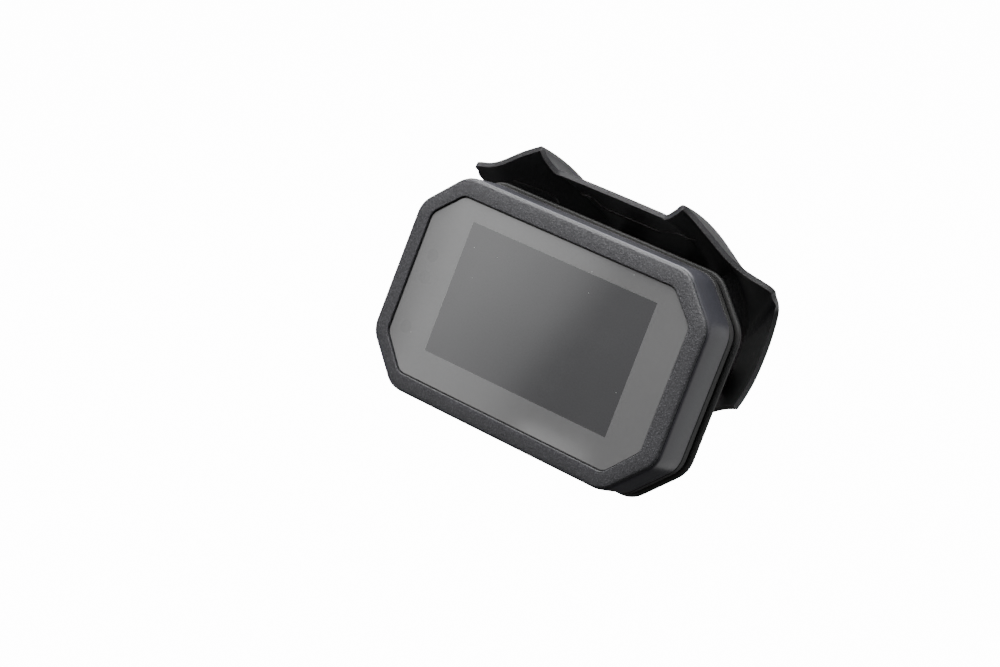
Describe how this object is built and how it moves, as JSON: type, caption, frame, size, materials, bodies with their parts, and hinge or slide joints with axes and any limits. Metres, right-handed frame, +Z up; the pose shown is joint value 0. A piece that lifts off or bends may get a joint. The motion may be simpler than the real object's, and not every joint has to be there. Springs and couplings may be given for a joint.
{
  "type": "motorcycle instrument cluster",
  "caption": "Reclined flat-screen motorcycle instrument cluster: sealed eight-sided display housing on rubber isolators, carrier tray, steel bracket and a twin-peaked fly screen behind it.",
  "frame": {"origin": "middle of the bracket's mounting pad, on its flat face", "axes": "+X to the rider's right, +Y forwards along the machine, +Z up; the glass faces -Y and leans back 33.4 degrees from upright"},
  "size_m": [0.1772, 0.1351, 0.1253],
  "materials": {
    "grained_plastic": "fine grained moulded black plastic",
    "satin_plastic": "satin moulded black plastic",
    "matte_plastic": "matte moulded black plastic",
    "screen_plastic": "fine grained matte black plastic",
    "vent_plastic": "grey plastic cap over a membrane",
    "chip_plastic": "moulded epoxy",
    "board_laminate": "green solder mask over glass-fibre laminate",
    "amber_film": "amber flexible film",
    "clear_acrylic": "clear and milky moulded acrylic",
    "display_panel": "dark unlit liquid crystal panel",
    "cover_glass": "polished glass with a dark printed border",
    "bond_tape": "black foam tape",
    "silicone": "grey silicone rubber",
    "rubber": "black natural rubber",
    "zinc_steel": "zinc plated steel",
    "black_steel": "black zinc plated steel",
    "capacitor_can": "drawn aluminium can",
    "contact_metal": "gold flashed brass",
    "bracket_paint": "black powder coat"
  },
  "bodies": {
    "carrier": {"carrier_tray": "matte_plastic", "mounting_bracket": "bracket_paint", "fly_screen": "screen_plastic", "tray_screw_1": "black_steel", "screen_screw_1": "black_steel", "screen_spacer_1": "rubber", "tray_screw_2": "black_steel", "screen_screw_2": "black_steel", "screen_spacer_2": "rubber", "tray_screw_3": "black_steel", "screen_screw_3": "black_steel", "screen_spacer_3": "rubber", "tray_screw_4": "black_steel", "screen_screw_4": "black_steel", "screen_spacer_4": "rubber", "rubber_grommet_1": "rubber", "rubber_grommet_2": "rubber", "rubber_grommet_3": "rubber"},
    "display_unit": {"front_bezel": "grained_plastic", "cover_glass": "cover_glass", "glass_bond_frame": "bond_tape", "mid_housing": "satin_plastic", "perimeter_seal": "silicone", "rear_cover": "matte_plastic", "breather_vent": "vent_plastic", "lcd_panel": "display_panel", "light_guide": "clear_acrylic", "backlight_led_strip": "amber_film", "backlight_tray": "zinc_steel", "main_circuit_board": "board_laminate", "graphics_processor": "chip_plastic", "capacitor_1": "capacitor_can", "capacitor_2": "capacitor_can", "warning_buzzer": "matte_plastic", "display_flex": "amber_film", "flex_connector": "matte_plastic", "telltale_light_guide": "clear_acrylic", "telltale_led_strip": "board_laminate", "connector_shroud": "matte_plastic", "connector_gasket": "silicone", "contact_comb": "contact_metal", "cover_screw_1": "zinc_steel", "cover_screw_2": "zinc_steel", "cover_screw_3": "zinc_steel", "cover_screw_4": "zinc_steel", "cover_screw_5": "zinc_steel", "cover_screw_6": "zinc_steel", "board_screw_1": "zinc_steel", "board_screw_2": "zinc_steel", "board_screw_3": "zinc_steel", "board_screw_4": "zinc_steel", "grommet_sleeve_1": "zinc_steel", "isolator_washer_1": "zinc_steel", "isolator_screw_1": "zinc_steel", "grommet_sleeve_2": "zinc_steel", "isolator_washer_2": "zinc_steel", "isolator_screw_2": "zinc_steel", "grommet_sleeve_3": "zinc_steel", "isolator_washer_3": "zinc_steel", "isolator_screw_3": "zinc_steel"}
  },
  "joints": [
    {"name": "isolator_float", "type": "slide", "parent": "carrier", "child": "display_unit", "axis": [0, 0.8348, -0.5505], "range_m": [-0.001, 0.001], "stiffness_N_per_m": 20000}
  ]
}
